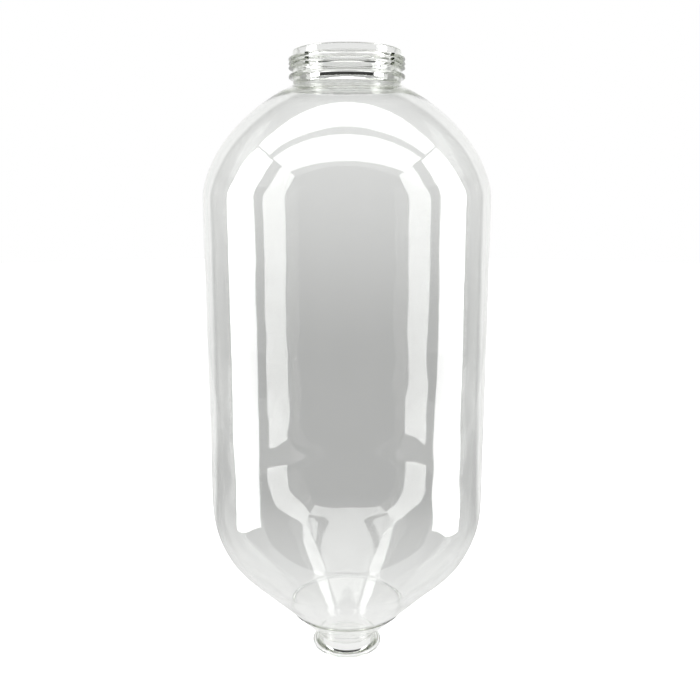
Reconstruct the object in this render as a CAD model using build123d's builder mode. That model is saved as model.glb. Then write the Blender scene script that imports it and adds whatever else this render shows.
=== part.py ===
from build123d import *

import os
from math import cos, radians, sin, tan

# Conical-bottomed fermenter carboy: one clear blown vessel, made as named zones.
# Frame: +Z up on the vessel's own axis, origin at the centre of the outlet flange's seating
# face, millimetres. Every zone is a ring about Z. Neighbours meet face to face on a
# horizontal plane, so together they make the one moulding.

os.makedirs("parts", exist_ok=True)

# ---- Driving dimensions (mm, degrees) --------------------------------------------------
FLANGE_R = 38.7          # 2.5 inch hygienic clamp ferrule, 77.4 across
FLANGE_EDGE = 2.9        # straight edge of the ferrule
FLANGE_TAPER = 20.0      # back face that the clamp squeezes
FLANGE_ROUND = 0.9
GASKET_R = 35.2          # centre line of the gasket groove in the seating face
GASKET_GROOVE_R = 2.0    # round-bottomed groove
GASKET_DEPTH = 1.5
OUTLET_R = 32.0          # outside of the short outlet neck
OUTLET_BORE_R = 28.5
OUTLET_TOP = 12.1        # where the neck starts to turn into the cone
OUTLET_BLEND = 5.0       # concave radius between neck and cone

CONE_SLOPE = 45.5        # above the horizontal
BOSS_R = 62.9            # where the thick outlet boss ends on the cone
BOSS_WALL = 3.8          # the boss is hardly stretched when the vessel is blown
BOSS_RUNOUT = 3.0        # radial width of the step from boss to blown wall
WALL = 1.8               # blown wall

VESSEL_R = 147.5         # outside of the straight wall
HEEL_R = 104.8           # round turn from cone to straight wall
STRAIGHT = 322.8         # height of the straight wall
DOME_ARCS = ((54.5, 16.4), (128.9, 22.1), (181.8, 26.9))  # radius and turn, going up
NECK_BLEND = 2.9         # concave radius between dome and neck

NECK_R = 54.3            # outside of the neck, between ridges
NECK_BORE_R = 50.0
BEAD_R = 46.8            # ring of unstretched plastic inside the waist
BEAD_UP = 3.0            # its crest above the foot of the waist
WAIST = 5.0              # plain band under the support ring
RING_R = 58.6            # support ring
RING_THICK = 3.2
RING_ROUND = 1.0
FINISH = 23.0            # closure length, support ring to rim
RIM_ROUND = 0.9
RIDGE_R = 58.5           # closure ridges
RIDGE_ROOT = 3.3         # ridge width at the neck
RIDGE_CREST = 1.7        # ridge width at its crest
RIDGE_ROUND = 0.7
RIDGE_PITCH = 4.2
RIDGES = 3
RIDGE_DROP = 7.8         # rim down to the first ridge's centre
VENT = 4.0               # width of a vent slot through the ridges
VENTS = 4
FIRST_VENT = 45.0        # from +X
BITE = 0.5               # depth of a ridge's root inside the neck wall

# ---- Heights that follow ---------------------------------------------------------------
slope = radians(CONE_SLOPE)
flange_top = FLANGE_EDGE + (FLANGE_R - OUTLET_R) * tan(radians(FLANGE_TAPER))
cone_r = OUTLET_R + OUTLET_BLEND * (1 - sin(slope))
cone_low = OUTLET_TOP + OUTLET_BLEND * cos(slope)
heel_r = VESSEL_R - HEEL_R * (1 - sin(slope))


def cone_z(radius, depth=0.0):
    """Height of the cone at a radius, on the outside or at a depth in its wall."""
    return cone_low + (radius - cone_r) * tan(slope) + depth / cos(slope)


boss_top = cone_z(BOSS_R)
heel_low = cone_z(heel_r)
wall_low = heel_low + HEEL_R * cos(slope)
wall_top = wall_low + STRAIGHT

# ---- The whole moulding, as one ring about Z --------------------------------------------
with BuildPart() as vessel:
    with BuildSketch(Plane.XZ):
        with BuildLine():
            outlet = Polyline(
                (0, 0), (FLANGE_R, 0), (FLANGE_R, FLANGE_EDGE), (OUTLET_R, flange_top),
                (OUTLET_R, OUTLET_TOP),
            )
            outlet_blend = JernArc(outlet @ 1, (0, 1), OUTLET_BLEND, CONE_SLOPE - 90)
            cone_line = Line(outlet_blend @ 1, (heel_r, heel_low))
            heel_arc = JernArc(cone_line @ 1, cone_line % 1, HEEL_R, 90 - CONE_SLOPE)
            run = Line(heel_arc @ 1, (VESSEL_R, wall_top))
            for radius, turn in DOME_ARCS:
                run = JernArc(run @ 1, run % 1, radius, turn)
            dome_turn = sum(turn for _, turn in DOME_ARCS)
            neck_arc = JernArc(run @ 1, run % 1, NECK_BLEND, -dome_turn)
            waist_r, waist_low = (neck_arc @ 1).X, (neck_arc @ 1).Y
            ring_low = waist_low + WAIST
            finish_low = ring_low + RING_THICK
            rim = finish_low + FINISH
            Polyline(
                neck_arc @ 1, (waist_r, ring_low), (RING_R, ring_low), (RING_R, finish_low),
                (NECK_R, finish_low), (NECK_R, rim), (0, rim), (0, 0),
            )
        make_face()
    revolve(axis=Axis.Z)

    # the hollow: outlet bore, boss, blown wall and neck bore
    with BuildSketch(Plane.XZ):
        with BuildLine():
            boss_in = BOSS_R - BOSS_WALL * sin(slope)
            thin_in = boss_in + BOSS_RUNOUT
            bore = Polyline(
                (0, -1), (OUTLET_BORE_R, -1), (OUTLET_BORE_R, cone_z(OUTLET_BORE_R, BOSS_WALL)),
                (boss_in, cone_z(boss_in, BOSS_WALL)), (thin_in, cone_z(thin_in, WALL)),
                (heel_r - WALL * sin(slope), heel_low + WALL * cos(slope)),
            )
            run = JernArc(bore @ 1, bore % 1, HEEL_R - WALL, 90 - CONE_SLOPE)
            run = Line(run @ 1, (VESSEL_R - WALL, wall_top))
            for radius, turn in DOME_ARCS:
                run = JernArc(run @ 1, run % 1, radius - WALL, turn)
            bead_z = waist_low + BEAD_UP
            bore_low = bead_z + NECK_BORE_R - BEAD_R
            Polyline(
                run @ 1, (BEAD_R, bead_z), (NECK_BORE_R, bore_low), (NECK_BORE_R, rim + 1),
                (0, rim + 1), (0, -1),
            )
        make_face()
    revolve(axis=Axis.Z, mode=Mode.SUBTRACT)

    # the gasket groove in the seating face
    with BuildSketch(Plane.XZ):
        with Locations((GASKET_R, GASKET_DEPTH - GASKET_GROOVE_R)):
            Circle(GASKET_GROOVE_R)
    revolve(axis=Axis.Z, mode=Mode.SUBTRACT)

    # eased edges: clamp edge, support ring and rim
    clamp_edges = vessel.edges().filter_by(GeomType.CIRCLE).filter_by(
        lambda e: abs(e.radius - FLANGE_R) < 0.01)
    fillet(clamp_edges.sort_by(Axis.Z)[-1], FLANGE_ROUND)
    ring_edges = vessel.edges().filter_by(GeomType.CIRCLE).filter_by(
        lambda e: abs(e.radius - RING_R) < 0.01)
    fillet(ring_edges, RING_ROUND)
    rim_edges = vessel.edges().filter_by(GeomType.CIRCLE).group_by(Axis.Z)[-1]
    fillet(rim_edges, RIM_ROUND)

# ---- Closure ridges: level rings, broken by the vent slots -------------------------------
with BuildPart() as ridges:
    for count in range(RIDGES):
        middle = rim - RIDGE_DROP - count * RIDGE_PITCH
        with BuildSketch(Plane.XZ):
            with BuildLine():
                Polyline(
                    (NECK_R - BITE, middle - RIDGE_ROOT / 2), (NECK_R, middle - RIDGE_ROOT / 2),
                    (RIDGE_R, middle - RIDGE_CREST / 2), (RIDGE_R, middle + RIDGE_CREST / 2),
                    (NECK_R, middle + RIDGE_ROOT / 2), (NECK_R - BITE, middle + RIDGE_ROOT / 2),
                    close=True,
                )
            make_face()
        revolve(axis=Axis.Z)
    crests = ridges.edges().filter_by(GeomType.CIRCLE).filter_by(
        lambda e: abs(e.radius - RIDGE_R) < 0.01)
    fillet(crests, RIDGE_ROUND)
    with PolarLocations(RIDGE_R, VENTS, start_angle=FIRST_VENT):
        with Locations((0, 0, rim - FINISH / 2)):
            Box(4 * (RIDGE_R - NECK_R), VENT, FINISH, mode=Mode.SUBTRACT)


# ---- Zones --------------------------------------------------------------------------------
def zone(label, low, high):
    """The slice of the moulding between two heights, as its own solid."""
    with BuildPart() as piece:
        add(vessel.part)
        if low > 0:
            split(bisect_by=Plane.XY.offset(low), keep=Keep.TOP)
        if high < rim:
            split(bisect_by=Plane.XY.offset(high), keep=Keep.BOTTOM)
    piece.part.label = label
    return piece


clamp_ferrule = zone("clamp_ferrule", 0, flange_top)
outlet_neck = zone("outlet_neck", flange_top, cone_low)
outlet_boss = zone("outlet_boss", cone_low, boss_top)
cone = zone("cone", boss_top, heel_low)
heel = zone("heel", heel_low, wall_low)
straight_wall = zone("straight_wall", wall_low, wall_top)
dome = zone("dome", wall_top, waist_low)
neck_waist = zone("neck_waist", waist_low, ring_low)
support_ring = zone("support_ring", ring_low, finish_low)

with BuildPart() as ridged_finish:
    add(zone("neck_core", finish_low, rim).part)
    add(ridges.part)
ridged_finish.part.label = "ridged_finish"

for piece in (clamp_ferrule, outlet_neck, outlet_boss, cone, heel, straight_wall, dome,
              neck_waist, support_ring, ridged_finish):
    export_step(piece.part, f"parts/{piece.part.label}.step")
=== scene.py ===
# %% [markdown]
# # A clear conical carboy
# The real object is one blown moulding of clear plastic: a ridged neck, a domed shoulder, a straight
# wall, a cone and a clamp ferrule at the outlet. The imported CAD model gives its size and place, and
# this script gives it one continuous wall, a clear finish and a studio to be seen in.

# %% Load the frame
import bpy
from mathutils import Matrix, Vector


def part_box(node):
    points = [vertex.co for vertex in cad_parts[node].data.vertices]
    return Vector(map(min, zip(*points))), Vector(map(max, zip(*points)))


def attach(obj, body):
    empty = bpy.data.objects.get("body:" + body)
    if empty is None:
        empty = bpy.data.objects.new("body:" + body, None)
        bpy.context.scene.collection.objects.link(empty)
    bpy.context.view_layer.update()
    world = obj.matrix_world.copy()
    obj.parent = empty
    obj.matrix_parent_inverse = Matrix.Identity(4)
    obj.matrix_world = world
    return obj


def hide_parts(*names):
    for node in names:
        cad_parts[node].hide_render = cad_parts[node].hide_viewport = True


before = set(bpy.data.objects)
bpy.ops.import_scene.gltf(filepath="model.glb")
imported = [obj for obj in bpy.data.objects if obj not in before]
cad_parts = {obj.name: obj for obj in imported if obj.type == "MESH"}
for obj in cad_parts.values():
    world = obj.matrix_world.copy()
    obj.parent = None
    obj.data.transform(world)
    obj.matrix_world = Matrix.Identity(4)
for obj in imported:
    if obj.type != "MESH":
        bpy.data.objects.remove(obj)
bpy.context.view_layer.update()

# %% [markdown]
# Light crosses this object's wall at least four times, and in the thick neck it turns back again and
# again before it leaves. A path that is cut short comes back black, so the limits on bounces are
# raised well above Blender's own. The Standard view keeps a white studio white.

# %% Modules and the way light is followed
from math import atan2, cos, degrees, hypot, pi, radians, sin, tan

import bmesh
import bpy
from mathutils import Matrix, Vector, noise

MM = 0.001
BOUNCES = 48
scene = bpy.context.scene
scene.view_settings.view_transform = "Standard"
scene.cycles.max_bounces = BOUNCES
scene.cycles.transmission_bounces = BOUNCES
scene.cycles.glossy_bounces = BOUNCES
print("light is followed for", BOUNCES, "bounces")

# %% [markdown]
# The main heights and radii of the outside come from the CAD nodes' boxes, so the clear wall stands
# where the collision model has it. The cone's slope and the heel's radius follow from the rings that
# they join. Smaller sizes, which a box can't tell, are named where they are first needed.


# %% Sizes read from the CAD nodes
def low_z(node):
    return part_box(node)[0][2]


def high_z(node):
    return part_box(node)[1][2]


def radius_of(node):
    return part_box(node)[1][0]


FLANGE_R, FLANGE_TOP = radius_of("clamp_ferrule"), high_z("clamp_ferrule")
CONE_LOW_R, CONE_LOW = radius_of("outlet_neck"), high_z("outlet_neck")
BOSS_R, BOSS_TOP = radius_of("outlet_boss"), high_z("outlet_boss")
HEEL_LOW_R, HEEL_LOW = radius_of("cone"), high_z("cone")
VESSEL_R, WALL_TOP = radius_of("straight_wall"), high_z("straight_wall")
WAIST_R, WAIST_LOW = radius_of("neck_waist"), low_z("neck_waist")
RING_R, RING_LOW, RING_TOP = radius_of("support_ring"), low_z("support_ring"), high_z("support_ring")
RIDGE_R, RIM = radius_of("ridged_finish"), high_z("ridged_finish")
CONE_SLOPE = atan2(HEEL_LOW - CONE_LOW, HEEL_LOW_R - CONE_LOW_R)
HEEL_R = (VESSEL_R - HEEL_LOW_R) / (1 - sin(CONE_SLOPE))
print("vessel radius", VESSEL_R, "rim height", RIM, "cone slope", degrees(CONE_SLOPE))

# %% [markdown]
# A half section is easiest to draw as a walk: straight runs and round turns, each starting where the
# last one ended and heading the same way. A curve object with handles could draw the same line, but
# a walk says each radius and angle as a drawing would.


# %% A pen that walks a half section
class Pen:
    """Walks in (radius, height). Heading 0 is outwards, a quarter turn is up."""

    def __init__(self, r, z, heading):
        self.r, self.z, self.heading = r, z, heading
        self.points = [(r, z)]

    def to(self, r, z, steps=1):
        """A straight run, with as many points as later bending needs."""
        start_r, start_z = self.r, self.z
        for k in range(1, steps + 1):
            share = k / steps
            self.points.append((start_r + (r - start_r) * share, start_z + (z - start_z) * share))
        self.heading = atan2(z - start_z, r - start_r)
        self.r, self.z = r, z

    def turn(self, radius, angle, steps):
        """A round turn to the left for a positive angle, in degrees."""
        side = 1 if angle > 0 else -1
        centre_r = self.r - side * radius * sin(self.heading)
        centre_z = self.z + side * radius * cos(self.heading)
        for _ in range(steps):
            self.heading += radians(angle) / steps
            self.r = centre_r + side * radius * sin(self.heading)
            self.z = centre_z - side * radius * cos(self.heading)
            self.points.append((self.r, self.z))


# %% [markdown]
# The blown part starts at the outlet as a thick boss, which the blowing hardly stretched. The wall
# steps down to its blown thickness at the boss's edge, and that small ledge shows as a ring on the
# cone. From there the outside is a cone, a round heel, a straight wall and a dome of three arcs that
# flatten towards the neck. The long runs get many points, because the wall is waved later.

# %% The blown part's outside
BOSS_LEDGE, BOSS_STEP, BOSS_LIP = 0.8 * MM, 1.6 * MM, 0.3 * MM
DOME_ARCS = ((54.5 * MM, 16.4), (128.9 * MM, 22.1), (181.8 * MM, 26.9))

shell = Pen(CONE_LOW_R, CONE_LOW, CONE_SLOPE)
shell.to(BOSS_R, BOSS_TOP, steps=6)
shell.to(BOSS_R - BOSS_LIP, BOSS_TOP + BOSS_LEDGE, steps=3)
shell.to(shell.r + BOSS_STEP, shell.z + BOSS_STEP * tan(CONE_SLOPE), steps=5)
shell.to(HEEL_LOW_R, HEEL_LOW, steps=12)
shell.heading = CONE_SLOPE
shell.turn(HEEL_R, 90 - degrees(CONE_SLOPE), steps=22)
shell.to(VESSEL_R, WALL_TOP, steps=36)
for arc_radius, arc_turn in DOME_ARCS:
    shell.turn(arc_radius, arc_turn, steps=11)
print("dome ends at height", shell.z, "and the neck's base is at", WAIST_LOW)

# %% [markdown]
# The outlet ends in a hygienic clamp ferrule: a flat face with a round-bottomed groove that seats a
# gasket, a thin edge, and a sloping back that the clamp squeezes. The moulding leaves every outer
# corner of it rounded, and those rounds catch the thin lines of light round the outlet.

# %% The outlet's outside
OUTLET_R, OUTLET_BORE_R, OUTLET_BLEND = 32.0 * MM, 28.5 * MM, 5.0 * MM
GASKET_R, GASKET_HALF, GASKET_DEPTH = 35.2 * MM, 1.9 * MM, 1.5 * MM
GROOVE_SIDE = 0.8 * GASKET_DEPTH
FLANGE_EDGE, FLANGE_TAPER = 2.9 * MM, 20
FACE_ROUND, BACK_ROUND, ROOT_ROUND = 1.1 * MM, 1.3 * MM, 0.8 * MM
BACK_START, ROOT_START = FLANGE_EDGE - 1.2 * MM, FLANGE_TOP - 0.1 * MM

outlet = Pen(OUTLET_BORE_R, 0, 0)
outlet.to(GASKET_R - GASKET_HALF, 0)
outlet.to(GASKET_R - GASKET_HALF / 2, GROOVE_SIDE)
outlet.to(GASKET_R, GASKET_DEPTH)
outlet.to(GASKET_R + GASKET_HALF / 2, GROOVE_SIDE)
outlet.to(GASKET_R + GASKET_HALF, 0)
outlet.to(FLANGE_R - FACE_ROUND, 0)
outlet.turn(FACE_ROUND, 90, steps=6)
outlet.to(FLANGE_R, BACK_START)
outlet.turn(BACK_ROUND, 90 - FLANGE_TAPER, steps=7)
outlet.to(OUTLET_R + ROOT_ROUND, ROOT_START)
outlet.heading = pi - radians(FLANGE_TAPER)
outlet.turn(ROOT_ROUND, FLANGE_TAPER - 90, steps=4)
outlet.to(OUTLET_R, CONE_LOW - OUTLET_BLEND * cos(CONE_SLOPE), steps=3)
outlet.heading = pi / 2
outlet.turn(OUTLET_BLEND, degrees(CONE_SLOPE) - 90, steps=8)
print("outlet meets the cone at", (outlet.r, outlet.z), "and should at", (CONE_LOW_R, CONE_LOW))

# %% [markdown]
# The neck isn't blown: it keeps the shape that it was injected in. A plain band stands on the dome,
# a support ring carries the part through the blowing machine, and three ridges above it hold a cap.

# %% The neck's outside
NECK_R, NECK_BLEND = 54.3 * MM, 2.9 * MM
RIDGES, RIDGE_PITCH, RIDGE_DROP = 3, 4.2 * MM, 7.8 * MM
RIDGE_ROOT, RIDGE_CREST, CREST_CUT = 3.3 * MM, 1.7 * MM, 0.6 * MM
RING_ROUND, RIM_ROUND, CHAMFER = 1.2 * MM, 0.9 * MM, 0.5 * MM
first_ridge = RIM - RIDGE_DROP - (RIDGES - 1) * RIDGE_PITCH

neck = Pen(shell.r, shell.z, shell.heading)
neck.turn(NECK_BLEND, 90 - degrees(shell.heading), steps=8)
neck.to(WAIST_R, RING_LOW - CHAMFER, steps=3)
neck.to(WAIST_R + CHAMFER, RING_LOW)
neck.to(RING_R - RING_ROUND, RING_LOW)
neck.turn(RING_ROUND, 90, steps=6)
neck.to(RING_R, RING_TOP - RING_ROUND)
neck.turn(RING_ROUND, 90, steps=6)
neck.to(NECK_R + CHAMFER, RING_TOP)
neck.to(NECK_R, RING_TOP + CHAMFER)
for count in range(RIDGES):
    middle = first_ridge + count * RIDGE_PITCH
    neck.to(NECK_R, middle - RIDGE_ROOT / 2)
    neck.to(RIDGE_R - CREST_CUT, middle - RIDGE_CREST / 2)
    neck.to(RIDGE_R, middle - RIDGE_CREST / 2 + CHAMFER)
    neck.to(RIDGE_R, middle + RIDGE_CREST / 2 - CHAMFER)
    neck.to(RIDGE_R - CREST_CUT, middle + RIDGE_CREST / 2)
    neck.to(NECK_R, middle + RIDGE_ROOT / 2)
neck.to(NECK_R, RIM - RIM_ROUND)
neck.turn(RIM_ROUND, 90, steps=5)
print("neck has", RIDGES, "ridges and ends at height", neck.z)

# %% [markdown]
# The wall's thickness is what the blowing leaves: thick where the plastic was hardly stretched, at
# the neck and round the outlet, and thin everywhere else. A Solidify modifier gives one thickness
# everywhere, so the inside is the outside's own walk, moved inwards by the thickness at each height.

# %% The inside of the blown part
BLOWN_WALL, BOSS_WALL, SHOULDER_EXTRA, SHOULDER_REACH = 1.8 * MM, 3.8 * MM, 1.4 * MM, 16 * MM


def smooth_step(low, high, value):
    share = min(max((value - low) / (high - low), 0.0), 1.0)
    return share * share * (3 - 2 * share)


def wall_at(z):
    """Thick boss, thin wall, and thicker again under the neck."""
    boss = (BOSS_WALL - BLOWN_WALL) * (1 - smooth_step(BOSS_TOP, BOSS_TOP + BOSS_LEDGE + BOSS_STEP, z))
    shoulder = SHOULDER_EXTRA * smooth_step(WAIST_LOW - SHOULDER_REACH, WAIST_LOW, z)
    return BLOWN_WALL + boss + shoulder


def thinner(points, thickness):
    """The same walk on the inner side, a given thickness away at each height."""
    inner = []
    for k, (r, z) in enumerate(points):
        before, after = points[max(k - 1, 0)], points[min(k + 1, len(points) - 1)]
        along = Vector((after[0] - before[0], after[1] - before[1])).normalized()
        depth = thickness(z)
        inner.append((r - along.y * depth, z + along.x * depth))
    return inner


inside_shell = thinner(shell.points, wall_at)
print("wall is", wall_at(CONE_LOW) / MM, "mm at the outlet and", wall_at(WALL_TOP) / MM, "mm at the wall")

# %% [markdown]
# Under the support ring a bead of unblown plastic stands inside the neck's bore. Its two facets work
# as a prism, and turn the dark end of the room back to the eye as one black band. With the bead
# drawn, the outside and the inside join into one closed loop, from the outlet's bore up to the rim
# and down again.

# %% The bead in the neck, and the whole half section
NECK_BORE_R, BEAD_R, BEAD_DROP = 50.0 * MM, 46.8 * MM, 0.55 * MM
OUTLET_FLARE, DOME_EDGE = 3.0 * MM, 0.5 * MM

bead_middle = (RING_LOW + WAIST_LOW) / 2 - BEAD_DROP
bead = Pen(NECK_BORE_R + RIM_ROUND, RIM, pi)
bead.turn(RIM_ROUND, 90, steps=5)
bead.to(NECK_BORE_R, bead_middle + NECK_BORE_R - BEAD_R, steps=4)
bead.to(BEAD_R, bead_middle)
facet_end = BEAD_R + bead_middle - inside_shell[-1][1] + DOME_EDGE
inside_down = [point for point in reversed(inside_shell) if point[0] > facet_end]
outlet_flare = (OUTLET_BORE_R, inside_shell[0][1] - OUTLET_FLARE)
outside = outlet.points[:-1] + shell.points[:-1] + neck.points
half_section = outside + bead.points + inside_down + [outlet_flare]
print("half section has", len(half_section), "points")

# %% [markdown]
# Spinning that closed loop once round gives the whole wall, inside and outside, as one closed mesh
# with no seam and no pole. A Screw modifier would do the same, but a spin leaves real vertices that
# can be moved afterwards. The number of steps divides by eight, so that a vertex stands in the
# middle of each vent slot.

# %% Spin the wall
STEPS_ROUND = 288
SHARP = radians(35)


def spun(name, points, steps):
    mesh = bpy.data.meshes.new(name)
    work = bmesh.new()
    corners = [work.verts.new((r, 0, z)) for r, z in points]
    loop = [work.edges.new((a, b)) for a, b in zip(corners, corners[1:] + corners[:1])]
    bmesh.ops.spin(work, geom=corners + loop, cent=(0, 0, 0), axis=(0, 0, 1), angle=2 * pi,
                   steps=steps, use_merge=True)
    bmesh.ops.remove_doubles(work, verts=work.verts, dist=1e-6)
    bmesh.ops.recalc_face_normals(work, faces=work.faces)
    for face in work.faces:
        face.smooth = True
    work.to_mesh(mesh)
    work.free()
    piece = bpy.data.objects.new(name, mesh)
    scene.collection.objects.link(piece)
    return piece


vessel = spun("vessel", half_section, STEPS_ROUND)
print("vessel has", 2 * len(vessel.data.polygons), "triangles")

# %% [markdown]
# Four vent slots cut the ridges, where the mould's slides met, so that gas can pass the cap. The cut
# isn't a boolean: the ridges' vertices in a slot are drawn in to the neck's own radius, which keeps
# the mesh closed and leaves the ridges with steep ends.

# %% Cut the vent slots
VENTS, FIRST_VENT, VENT_HALF = 4, radians(45), radians(2.0)
PROUD_R = NECK_R + 0.1 * MM


def slot_distance(x, y):
    """The angle to the middle of the nearest vent slot."""
    pitch = 2 * pi / VENTS
    turn = (atan2(y, x) - FIRST_VENT) % pitch
    return min(turn, pitch - turn)


work = bmesh.new()
work.from_mesh(vessel.data)
cut = 0
for corner in work.verts:
    x, y, z = corner.co
    r = hypot(x, y)
    if z > first_ridge - RIDGE_ROOT and r > PROUD_R and slot_distance(x, y) < VENT_HALF:
        corner.co.x, corner.co.y = x * NECK_R / r, y * NECK_R / r
        cut += 1
work.to_mesh(vessel.data)
work.free()
print("drew in", cut, "corners of the ridges")

# %% [markdown]
# A blown wall is never a true cylinder. It cools against the mould in patches, and its reflections
# swim because of that, most of all low down where the wall set last. Smooth noise moves both sides
# of the wall inwards together, never outwards, so the vessel stays inside its CAD size. A noise
# texture in a Displace modifier could do it, but the amount has to fade out at the boss and neck.

# %% Let the blown wall wave
WAVE_LOW, WAVE_HIGH, WAVE_LENGTH = 1.3 * MM, 0.5 * MM, 62 * MM
FINER_LENGTH, FINER_PLACE = 0.45 * WAVE_LENGTH, Vector((7, 3, 5))
WAVE_MIDDLE, WAVE_SHARE, FINER_SHARE = 0.5, 0.55, 0.25
FADE_START, FADE_REACH, FADE_END = BOSS_TOP + 3 * MM, 37 * MM, WAIST_LOW - 20 * MM
CALM_FROM, CALM_AT = 0.20, 0.36


def wave(place):
    """From 0 to 1, smooth, the same for the same place."""
    broad = WAVE_SHARE * noise.noise(place / WAVE_LENGTH)
    finer = FINER_SHARE * noise.noise(place / FINER_LENGTH + FINER_PLACE)
    return min(max(WAVE_MIDDLE + broad + finer, 0.0), 1.0)


work = bmesh.new()
work.from_mesh(vessel.data)
deepest = 0.0
for corner in work.verts:
    x, y, z = corner.co
    if FADE_START < z < FADE_END:
        fade = smooth_step(FADE_START, FADE_START + FADE_REACH, z) * smooth_step(FADE_END, WALL_TOP, z)
        depth = WAVE_HIGH + (WAVE_LOW - WAVE_HIGH) * (1 - smooth_step(CALM_FROM, CALM_AT, z))
        inwards = fade * depth * wave(corner.co)
        shrink = 1 - inwards / hypot(x, y)
        corner.co.x, corner.co.y = x * shrink, y * shrink
        deepest = max(deepest, inwards)
work.to_mesh(vessel.data)
work.free()
vessel.data.set_sharp_from_angle(angle=SHARP)
print("the wall waves inwards by up to", deepest / MM, "mm")

# %% [markdown]
# The plastic is clear right through, with a trace of grey-green that only shows where light travels
# along the wall, at the neck and the outlet. So the tint is an absorption inside the wall, not a
# colour on its surface. The surface is glossy but drawn out: faint upright streaks run down a blown
# wall, so a noise stretched along the height gives a very fine bump.

# %% Clear plastic
PLASTIC_CLEAR, PLASTIC_INDEX = (0.965, 0.968, 0.965, 1), 1.60
PLASTIC_TINT, TINT_DENSITY = (0.50, 0.54, 0.43, 1), 24
STREAK_STRETCH, STREAK_SCALE, STREAK_DETAIL = 0.04, 260, 3
STREAK_STRENGTH, STREAK_RISE = 0.3, 0.06 * MM


def clear_plastic(name):
    material = bpy.data.materials.new(name)
    material.use_nodes = True
    nodes, links = material.node_tree.nodes, material.node_tree.links
    shader = nodes["Principled BSDF"]
    shader.inputs["Base Color"].default_value = PLASTIC_CLEAR
    shader.inputs["Roughness"].default_value = 0.0
    shader.inputs["IOR"].default_value = PLASTIC_INDEX
    shader.inputs["Transmission Weight"].default_value = 1.0
    place = nodes.new("ShaderNodeTexCoord")
    stretch = nodes.new("ShaderNodeMapping")
    stretch.inputs["Scale"].default_value = (1, 1, STREAK_STRETCH)
    links.new(place.outputs["Object"], stretch.inputs["Vector"])
    streaks = nodes.new("ShaderNodeTexNoise")
    streaks.inputs["Scale"].default_value = STREAK_SCALE
    streaks.inputs["Detail"].default_value = STREAK_DETAIL
    links.new(stretch.outputs["Vector"], streaks.inputs["Vector"])
    relief = nodes.new("ShaderNodeBump")
    relief.inputs["Strength"].default_value = STREAK_STRENGTH
    relief.inputs["Distance"].default_value = STREAK_RISE
    links.new(streaks.outputs["Fac"], relief.inputs["Height"])
    links.new(relief.outputs["Normal"], shader.inputs["Normal"])
    tint = nodes.new("ShaderNodeVolumeAbsorption")
    tint.inputs["Color"].default_value = PLASTIC_TINT
    tint.inputs["Density"].default_value = TINT_DENSITY
    links.new(tint.outputs["Volume"], nodes["Material Output"].inputs["Volume"])
    return material


vessel.data.materials.append(clear_plastic("clear_pet"))
print("vessel's finish is", vessel.data.materials[0].name)

# %% [markdown]
# The CAD model splits the moulding into named zones, so that each can be measured and checked. The
# real thing has no seams between them, so one continuous wall stands in for every zone, and it
# rides the one body that the object has.

# %% Put the wall in place of the CAD zones
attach(vessel, "root")
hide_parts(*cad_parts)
print("the wall replaces", len(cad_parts), "zones")

# %% [markdown]
# The camera stands a little above the shoulder and looks slightly down, close enough that the rim
# shows its opening and the outlet shows from above. It is turned a little about the vessel, and the
# lens is long enough to fill the frame without bending the wall.

# %% Camera
CAMERA_TURN, CAMERA_DIP = radians(-4.1), radians(10.73)
CAMERA_AWAY, CAMERA_HEIGHT = 0.8395, 0.4978
SENSOR_WIDTH, LENS, SHIFT_ASIDE = 36, 40.97, 0.0044
camera_data = bpy.data.cameras.new("camera")
camera_data.sensor_width = SENSOR_WIDTH
camera_data.lens = LENS
camera_data.shift_x = SHIFT_ASIDE
camera = bpy.data.objects.new("camera", camera_data)
scene.collection.objects.link(camera)
camera.location = (CAMERA_AWAY * sin(CAMERA_TURN), -CAMERA_AWAY * cos(CAMERA_TURN), CAMERA_HEIGHT)
camera.rotation_euler = (pi / 2 - CAMERA_DIP, 0, CAMERA_TURN)
scene.camera = camera
print("camera is", camera.location.length, "m from the outlet")

# %% [markdown]
# Clear plastic has almost no look of its own: one sees what it reflects. So a soft light here is a
# plain rectangle with a crisp edge, which shows on the wall as a white band. A path that has passed
# straight through the wall would see it as a white box from behind. To keep that out, the light's
# strength is zero until the path has been mirrored at least once. Every light hangs on one rig, which
# is turned with the camera.

# %% A softbox for a clear object
rig = bpy.data.objects.new("light_rig", None)
rig.rotation_euler.z = CAMERA_TURN
scene.collection.objects.link(rig)


def shine_in_reflections_only(light):
    light.use_nodes = True
    tree = light.node_tree
    path = tree.nodes.new("ShaderNodeLightPath")
    mirrored = tree.nodes.new("ShaderNodeMath")
    mirrored.operation = "MINIMUM"
    mirrored.inputs[1].default_value = 1.0
    tree.links.new(path.outputs["Glossy Depth"], mirrored.inputs[0])
    tree.links.new(mirrored.outputs["Value"], tree.nodes["Emission"].inputs["Strength"])


def softbox(name, place, facing, width, height, radiance):
    """A rectangular light on the rig. Its radiance is its power over its area and pi."""
    light = bpy.data.lights.new(name, "AREA")
    light.shape = "RECTANGLE"
    light.size, light.size_y = width, height
    light.energy = radiance * width * height * pi
    shine_in_reflections_only(light)
    box = bpy.data.objects.new(name, light)
    box.rotation_euler = Vector(facing).to_track_quat("-Z", "Y").to_euler()
    box.location = place
    box.visible_camera = False
    box.parent = rig
    scene.collection.objects.link(box)
    print(name, "is", width, "by", height, "m and gives", light.energy, "W")


# %% [markdown]
# Two tall strips stand beside the vessel, a little in front of it, and give it its two upright pairs
# of bands. Two wide ones hang above it with a gap between them, and the gap is the grey arc across
# the shoulder.

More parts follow.
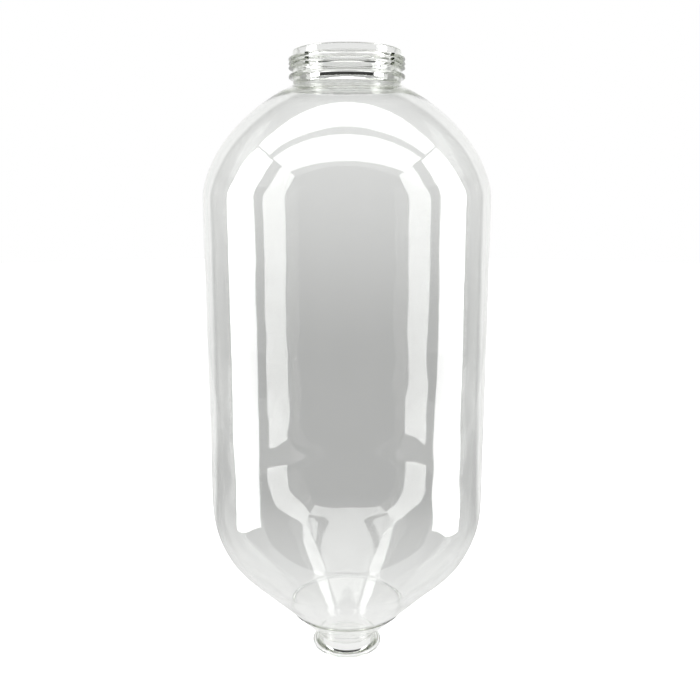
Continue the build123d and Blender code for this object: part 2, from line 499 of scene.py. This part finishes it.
# %% Four softboxes
SIDE_AWAY, SIDE_NEAR, SIDE_FAR = 0.465, -0.225, -0.005
TOP_HEIGHT, TOP_WIDTH = 0.95, 1.0
TOP_FRONT, SEAM_FRONT, SEAM_BACK, TOP_BACK = -0.475, -0.213, -0.155, 0.018
SIDE_TALL, SIDE_MIDDLE = TOP_HEIGHT - 0.06, TOP_HEIGHT / 2 - 0.02
SIDE_RADIANCE, TOP_RADIANCE = 4.5, 2.9

for name, side in (("left_strip", -1), ("right_strip", 1)):
    softbox(name, (side * SIDE_AWAY, (SIDE_NEAR + SIDE_FAR) / 2, SIDE_MIDDLE), (-side, 0, 0),
            SIDE_FAR - SIDE_NEAR, SIDE_TALL, SIDE_RADIANCE)
for name, start, end in (("top_front", TOP_FRONT, SEAM_FRONT), ("top_back", SEAM_BACK, TOP_BACK)):
    softbox(name, (0, (start + end) / 2, TOP_HEIGHT), (0, 0, -1), TOP_WIDTH, end - start, TOP_RADIANCE)

# %% [markdown]
# The room and the card under the vessel are painted by small sums on a direction or a place. Three
# helpers make one node each, for a sum, a change of range and a ramp of greys, and hand back its
# output. They take a socket or a plain number, and a fourth helper sees to that.


# %% Helpers for sums in nodes
def feed(tree, socket, source):
    """Link a socket to its source, or set it where the source is a plain number."""
    if isinstance(source, (int, float)):
        socket.default_value = source
    else:
        tree.links.new(source, socket)


def maths(tree, operation, *sources):
    node = tree.nodes.new("ShaderNodeMath")
    node.operation = operation
    for socket, source in zip(node.inputs, sources):
        feed(tree, socket, source)
    return node.outputs["Value"]


def map_range(tree, source, low, high, to_low=0.0, to_high=1.0):
    node = tree.nodes.new("ShaderNodeMapRange")
    for name, value in (("Value", source), ("From Min", low), ("From Max", high),
                        ("To Min", to_low), ("To Max", to_high)):
        feed(tree, node.inputs[name], value)
    return node.outputs["Result"]


def grey_ramp(tree, source, stops, blend="LINEAR"):
    """A grey for each place from 0 to 1, given as pairs of a place and a grey."""
    node = tree.nodes.new("ShaderNodeValToRGB")
    node.color_ramp.interpolation = blend
    elements = node.color_ramp.elements
    for element, (place, grey) in zip(elements, (stops[0], stops[-1])):
        element.position, element.color = place, (grey, grey, grey, 1)
    for place, grey in stops[1:-1]:
        elements.new(place).color = (grey, grey, grey, 1)
    tree.links.new(source, node.inputs["Fac"])
    return node.outputs["Color"]


# %% [markdown]
# The room is a white sweep behind the vessel that greys towards the floor, with dark ends beside and
# behind the camera. The dark ends draw the wall's edges and the black band in the neck. It could be
# built of walls, but a world that is painted by direction has no corners to hide.

# %% The room's paint, by direction
ROOM_HEIGHTS = ((0.0, 0.62), (0.32, 0.62), (0.37, 0.50), (0.44, 0.68), (0.50, 0.90), (0.56, 1.0),
                (1.0, 0.95))
ROOM_SWEEP = ((0.32, 0.02), (0.60, 0.34), (0.72, 0.34), (0.82, 0.24), (0.87, 0.95), (0.975, 0.95),
              (0.99, 0.62), (1.0, 0.62))
ROOM_GAIN = 1.6

world = bpy.data.worlds.new("studio")
scene.world = world
world.use_nodes = True
tree = world.node_tree
path = tree.nodes.new("ShaderNodeLightPath")
direction = tree.nodes.new("ShaderNodeTexCoord")
turned = tree.nodes.new("ShaderNodeMapping")
turned.vector_type = "VECTOR"
turned.inputs["Rotation"].default_value = (0, 0, -CAMERA_TURN)
tree.links.new(direction.outputs["Generated"], turned.inputs["Vector"])
split = tree.nodes.new("ShaderNodeSeparateXYZ")
tree.links.new(turned.outputs["Vector"], split.inputs["Vector"])
behind, up = split.outputs["Y"], split.outputs["Z"]

heights = grey_ramp(tree, map_range(tree, up, -1.0, 1.0), ROOM_HEIGHTS, "B_SPLINE")
sweep = grey_ramp(tree, map_range(tree, behind, -1.0, 1.0), ROOM_SWEEP)
mirrored_room = maths(tree, "MULTIPLY", heights, maths(tree, "MULTIPLY", sweep, ROOM_GAIN))
print("the room is painted with", len(tree.nodes), "nodes")

# %% [markdown]
# A path that goes straight through the wall towards the camera's end, as in a view from behind,
# would see that dark end, and the vessel would look like smoked glass from there. So a path that
# hasn't been mirrored yet sees a pale room at that end. The camera itself sees plain white.

# %% What the straight paths and the camera see
CLEAR_FROM, CLEAR_AT = 0.45, 0.25
GLOW_FROM, GLOW_AT, GLOW_LOW, GLOW_HIGH = -0.20, -0.45, 0.55, 0.95

floor_glow = map_range(tree, up, GLOW_FROM, GLOW_AT, GLOW_LOW, GLOW_HIGH)
clear_room = maths(tree, "MAXIMUM", heights, floor_glow)
unmirrored = maths(tree, "SUBTRACT", 1.0, maths(tree, "MINIMUM", path.outputs["Glossy Depth"], 1.0))
clear_share = maths(tree, "MULTIPLY", unmirrored, map_range(tree, behind, CLEAR_FROM, CLEAR_AT))
change = maths(tree, "SUBTRACT", clear_room, mirrored_room)
either_room = maths(tree, "MULTIPLY_ADD", change, clear_share, mirrored_room)
room = tree.nodes["Background"]
room.inputs["Color"].default_value = (1, 1, 1, 1)
tree.links.new(maths(tree, "MINIMUM", either_room, 1.0), room.inputs["Strength"])
white = tree.nodes.new("ShaderNodeBackground")
white.inputs["Color"].default_value = (1, 1, 1, 1)
choice = tree.nodes.new("ShaderNodeMixShader")
tree.links.new(path.outputs["Is Camera Ray"], choice.inputs["Fac"])
tree.links.new(room.outputs["Background"], choice.inputs[1])
tree.links.new(white.outputs["Background"], choice.inputs[2])
tree.links.new(choice.outputs["Shader"], tree.nodes["World Output"].inputs["Surface"])
print("the world has", len(tree.nodes), "nodes")

# %% [markdown]
# The floor and the card on it are flat sheets of matt paper. Both are made the same way: a shape by
# a bmesh operator, set at its height in its own mesh, and linked to the scene, not to the object's
# body. Paper has no shine, and a glow of its own makes it as bright as a lit sweep would be.


# %% Paper for the floor and the card
def paper(name, grey, glow):
    """A matt sheet with a glow of its own."""
    material = bpy.data.materials.new(name)
    material.use_nodes = True
    sheet = material.node_tree.nodes["Principled BSDF"]
    sheet.inputs["Base Color"].default_value = (grey, grey, grey, 1)
    sheet.inputs["Roughness"].default_value = 1.0
    sheet.inputs["Specular IOR Level"].default_value = 0.0
    sheet.inputs["Emission Color"].default_value = (1, 1, 1, 1)
    sheet.inputs["Emission Strength"].default_value = glow
    return material


def flat_sheet(name, work, place, material):
    mesh = bpy.data.meshes.new(name)
    work.to_mesh(mesh)
    work.free()
    mesh.transform(Matrix.Translation(place))
    mesh.materials.append(material)
    piece = bpy.data.objects.new(name, mesh)
    scene.collection.objects.link(piece)
    return piece


# %% [markdown]
# The floor is plain and pale, and lies just under the vessel. It is a wide round sheet, so that no
# corner of it shows. Mirrored and refracted paths don't see it, because the card is painted for them.

# %% Floor
FLOOR_R, FLOOR_DROP, FLOOR_GREY, FLOOR_GLOW = 6.0, 0.6 * MM, 0.8, 0.9

disc = bmesh.new()
bmesh.ops.create_circle(disc, cap_ends=True, segments=96, radius=FLOOR_R)
floor = flat_sheet("floor", disc, (0, 0, -FLOOR_DROP), paper("pale_floor", FLOOR_GREY, FLOOR_GLOW))
floor.visible_glossy = False
floor.visible_transmission = False
print("floor is", floor.dimensions.x, "m across")

# %% [markdown]
# The card is a square sheet under and behind the vessel that only the clear wall sees. It is black,
# and all its brightness is a painted glow: painted light that is brightest at the vessel and greys
# behind it. Well to either side, a fan of brighter and darker rays is added, painted light and shade
# which opens from the vessel's foot and shows in the cone and the heel.

# %% Card
CARD_FRONT, CARD_HALF, CARD_DROP = -0.26, 1.0, 0.3 * MM
CARD_NEAR, CARD_FAR, CARD_REACH = 0.95, 0.60, 0.45
FAN_LOW, FAN_HIGH, FAN_START, FAN_FULL = -0.25, 0.40, 0.27, 0.37
FAN = ((0.20, 0.385), (0.36, 1.0), (0.72, 1.0), (0.82, 0.08), (1.0, 0.08))

square = bmesh.new()
bmesh.ops.create_grid(square, x_segments=1, y_segments=1, size=CARD_HALF)
# The card is black; its whole brightness is a painted glow of light and shade.
card_painted_light = paper("painted_light_card", 0.0, 1.0)
card = flat_sheet("card", square, (0, CARD_HALF + CARD_FRONT, -CARD_DROP), card_painted_light)
tree = card_painted_light.node_tree
place = tree.nodes.new("ShaderNodeTexCoord").outputs["Object"]
split = tree.nodes.new("ShaderNodeSeparateXYZ")
tree.links.new(place, split.inputs["Vector"])
length = tree.nodes.new("ShaderNodeVectorMath")
length.operation = "LENGTH"
tree.links.new(place, length.inputs[0])
# Painted light: brightest at the vessel, greying behind it.
near = map_range(tree, split.outputs["Y"], CARD_REACH, 0.0, CARD_FAR, CARD_NEAR)
aside = maths(tree, "ABSOLUTE", split.outputs["X"])
# Painted rays of light and shade, fanning out from the vessel's foot to either side.
fan = grey_ramp(tree, maths(tree, "DIVIDE", aside, length.outputs["Value"]), FAN)
offset = map_range(tree, fan, 0.0, 1.0, FAN_LOW, FAN_HIGH)
outer = map_range(tree, aside, FAN_START, FAN_FULL)
glow = maths(tree, "MULTIPLY_ADD", offset, outer, near)
tree.links.new(glow, tree.nodes["Principled BSDF"].inputs["Emission Strength"])
card.visible_camera = False
card.visible_diffuse = False
card.visible_shadow = False
card.parent = rig
print("card is", card.dimensions.x, "m wide")
